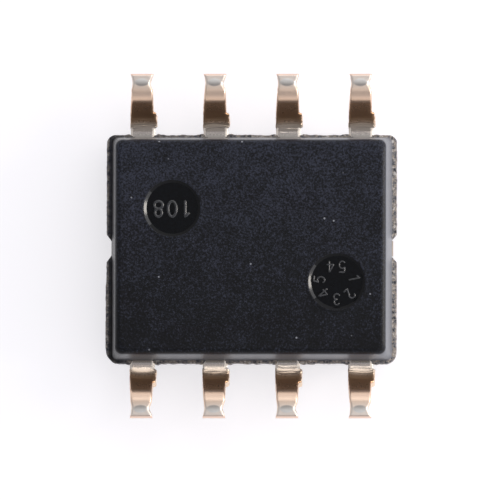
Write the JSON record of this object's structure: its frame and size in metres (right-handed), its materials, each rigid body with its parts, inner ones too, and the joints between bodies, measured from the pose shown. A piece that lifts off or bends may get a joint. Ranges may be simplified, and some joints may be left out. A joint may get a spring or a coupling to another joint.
{
  "type": "small-outline memory chip",
  "caption": "Small-outline surface-mount memory chip with gull-wing leads in two rows, a drafted black moulding and its die, paddle and bond wires inside.",
  "frame": {"origin": "middle of the marking face, on the surface that the package lies on", "axes": "+Z from the marking face to the seating side, so the soles of the leads face +Z; +X along the rows of leads; +Y from one row of leads to the other"},
  "size_m": [0.005, 0.006, 0.0016],
  "materials": {
    "mould_compound": "matte, moulded",
    "plated_leads": "satin, plated and formed",
    "copper_paddle": "satin, rolled",
    "silver_epoxy": "matte, cured",
    "silicon": "polished",
    "gold_wire": "drawn"
  },
  "bodies": {
    "root": {"mould_body": "mould_compound", "lead_1": "plated_leads", "lead_2": "plated_leads", "lead_3": "plated_leads", "lead_4": "plated_leads", "lead_5": "plated_leads", "lead_6": "plated_leads", "lead_7": "plated_leads", "lead_8": "plated_leads", "die_paddle": "copper_paddle", "die_attach": "silver_epoxy", "silicon_die": "silicon", "bond_wire_1": "gold_wire", "bond_wire_2": "gold_wire", "bond_wire_3": "gold_wire", "bond_wire_4": "gold_wire", "bond_wire_5": "gold_wire", "bond_wire_6": "gold_wire", "bond_wire_7": "gold_wire", "bond_wire_8": "gold_wire"}
  },
  "joints": []
}
